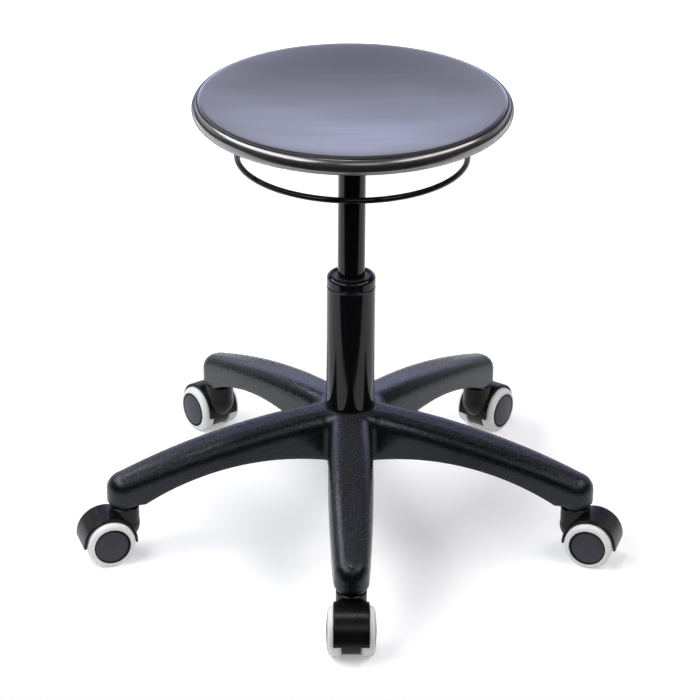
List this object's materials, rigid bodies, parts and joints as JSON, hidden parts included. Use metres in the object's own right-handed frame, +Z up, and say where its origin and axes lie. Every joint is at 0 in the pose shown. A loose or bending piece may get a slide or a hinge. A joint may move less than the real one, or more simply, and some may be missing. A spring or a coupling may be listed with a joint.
{
  "type": "rolling stool",
  "caption": "Low rolling stool: thin round foam seat on a gas column with a hoop that releases its height, on a moulded star base with hooded twin-wheel casters.",
  "frame": {"origin": "on the floor, on the axis of the column", "axes": "+Z up along the column, the front arm of the base points to -Y, +X to the sitter's right seen from the front"},
  "size_m": [0.5668, 0.5393, 0.4802],
  "materials": {
    "seat_foam": "satin moulded polyurethane skin",
    "base_nylon": "fine grained moulded nylon",
    "column_black": "gloss black enamel",
    "bracket_black": "semi-matt black powder coat",
    "ring_black": "black powder coat",
    "caster_black": "semi-gloss moulded nylon",
    "wheel_grey": "fine grained dark grey nylon",
    "tread_white": "matt soft tread",
    "bush_plastic": "smooth acetal",
    "seal_rubber": "matt",
    "steel": "ground",
    "bearing_steel": "polished",
    "brass": "stamped",
    "alloy": "machined",
    "board_ply": "birch plywood"
  },
  "bodies": {
    "base": {"five_star_base": "base_nylon", "column_tube": "column_black", "column_end_plate": "steel", "guide_bush": "bush_plastic", "caster_stems": "steel", "stem_grip_rings": "steel", "thrust_washer_lower": "steel"},
    "rod": {"piston_rod": "steel", "rod_clip": "steel", "bump_stop": "seal_rubber", "piston": "alloy", "piston_seal": "seal_rubber", "thrust_washer_upper": "steel", "bearing_balls": "bearing_steel", "ball_cage": "brass"},
    "seat": {"gas_cylinder": "column_black", "rod_guide": "bush_plastic", "valve_block": "alloy", "cone_sleeve": "bracket_black", "seat_bracket": "bracket_black", "seat_board": "board_ply", "plate_screws": "steel", "seat_pad": "seat_foam"},
    "release": {"release_ring": "ring_black", "rocker_plate": "bracket_black"},
    "pin": {"release_pin": "steel"},
    "front_caster": {"front_caster_hood": "caster_black", "front_caster_axle": "steel"},
    "front_wheel_1": {"front_wheel_1_core": "wheel_grey", "front_wheel_1_tread": "tread_white"},
    "front_wheel_2": {"front_wheel_2_core": "wheel_grey", "front_wheel_2_tread": "tread_white"},
    "right_caster": {"right_caster_hood": "caster_black", "right_caster_axle": "steel"},
    "right_wheel_1": {"right_wheel_1_core": "wheel_grey", "right_wheel_1_tread": "tread_white"},
    "right_wheel_2": {"right_wheel_2_core": "wheel_grey", "right_wheel_2_tread": "tread_white"},
    "back_right_caster": {"back_right_caster_hood": "caster_black", "back_right_caster_axle": "steel"},
    "back_right_wheel_1": {"back_right_wheel_1_core": "wheel_grey", "back_right_wheel_1_tread": "tread_white"},
    "back_right_wheel_2": {"back_right_wheel_2_core": "wheel_grey", "back_right_wheel_2_tread": "tread_white"},
    "back_left_caster": {"back_left_caster_hood": "caster_black", "back_left_caster_axle": "steel"},
    "back_left_wheel_1": {"back_left_wheel_1_core": "wheel_grey", "back_left_wheel_1_tread": "tread_white"},
    "back_left_wheel_2": {"back_left_wheel_2_core": "wheel_grey", "back_left_wheel_2_tread": "tread_white"},
    "left_caster": {"left_caster_hood": "caster_black", "left_caster_axle": "steel"},
    "left_wheel_1": {"left_wheel_1_core": "wheel_grey", "left_wheel_1_tread": "tread_white"},
    "left_wheel_2": {"left_wheel_2_core": "wheel_grey", "left_wheel_2_tread": "tread_white"}
  },
  "joints": [
    {"name": "seat_swivel", "type": "hinge", "parent": "base", "child": "rod", "pos_m": [0, 0, 0.0745], "axis": [0, 0, 1], "continuous": true},
    {"name": "seat_height", "type": "slide", "parent": "rod", "child": "seat", "axis": [0, 0, 1], "range_m": [-0.11, 0]},
    {"name": "ring_lift", "type": "hinge", "parent": "seat", "child": "release", "pos_m": [0, -0.03, 0.45785], "axis": [-1, 0, 0], "range_deg": [0, 5.7], "stiffness_Nm_per_rad": 12, "springref_deg": -8.59},
    {"name": "pin_press", "type": "slide", "parent": "seat", "child": "pin", "axis": [0, 0, -1], "range_m": [0, 0.0031]},
    {"name": "front_caster_swivel", "type": "hinge", "parent": "base", "child": "front_caster", "pos_m": [0, -0.245, 0.05], "axis": [0, 0, 1], "continuous": true},
    {"name": "front_wheel_1_roll", "type": "hinge", "parent": "front_caster", "child": "front_wheel_1", "pos_m": [0, -0.264, 0.025], "axis": [1, 0, 0], "continuous": true},
    {"name": "front_wheel_2_roll", "type": "hinge", "parent": "front_caster", "child": "front_wheel_2", "pos_m": [0, -0.264, 0.025], "axis": [1, 0, 0], "continuous": true},
    {"name": "right_caster_swivel", "type": "hinge", "parent": "base", "child": "right_caster", "pos_m": [0.23301, -0.07571, 0.05], "axis": [0, 0, 1], "continuous": true},
    {"name": "right_wheel_1_roll", "type": "hinge", "parent": "right_caster", "child": "right_wheel_1", "pos_m": [0.25108, -0.08158, 0.025], "axis": [0.309, 0.9511, 0], "continuous": true},
    {"name": "right_wheel_2_roll", "type": "hinge", "parent": "right_caster", "child": "right_wheel_2", "pos_m": [0.25108, -0.08158, 0.025], "axis": [0.309, 0.9511, 0], "continuous": true},
    {"name": "back_right_caster_swivel", "type": "hinge", "parent": "base", "child": "back_right_caster", "pos_m": [0.14401, 0.19821, 0.05], "axis": [0, 0, 1], "continuous": true},
    {"name": "back_right_wheel_1_roll", "type": "hinge", "parent": "back_right_caster", "child": "back_right_wheel_1", "pos_m": [0.15518, 0.21358, 0.025], "axis": [-0.809, 0.5878, 0], "continuous": true},
    {"name": "back_right_wheel_2_roll", "type": "hinge", "parent": "back_right_caster", "child": "back_right_wheel_2", "pos_m": [0.15518, 0.21358, 0.025], "axis": [-0.809, 0.5878, 0], "continuous": true},
    {"name": "back_left_caster_swivel", "type": "hinge", "parent": "base", "child": "back_left_caster", "pos_m": [-0.14401, 0.19821, 0.05], "axis": [0, 0, 1], "continuous": true},
    {"name": "back_left_wheel_1_roll", "type": "hinge", "parent": "back_left_caster", "child": "back_left_wheel_1", "pos_m": [-0.15518, 0.21358, 0.025], "axis": [-0.809, -0.5878, 0], "continuous": true},
    {"name": "back_left_wheel_2_roll", "type": "hinge", "parent": "back_left_caster", "child": "back_left_wheel_2", "pos_m": [-0.15518, 0.21358, 0.025], "axis": [-0.809, -0.5878, 0], "continuous": true},
    {"name": "left_caster_swivel", "type": "hinge", "parent": "base", "child": "left_caster", "pos_m": [-0.23301, -0.07571, 0.05], "axis": [0, 0, 1], "continuous": true},
    {"name": "left_wheel_1_roll", "type": "hinge", "parent": "left_caster", "child": "left_wheel_1", "pos_m": [-0.25108, -0.08158, 0.025], "axis": [0.309, -0.9511, 0], "continuous": true},
    {"name": "left_wheel_2_roll", "type": "hinge", "parent": "left_caster", "child": "left_wheel_2", "pos_m": [-0.25108, -0.08158, 0.025], "axis": [0.309, -0.9511, 0], "continuous": true}
  ],
  "couplings": [
    {"joint": "pin_press", "follows": "ring_lift", "m_per_rad": 0.03}
  ]
}
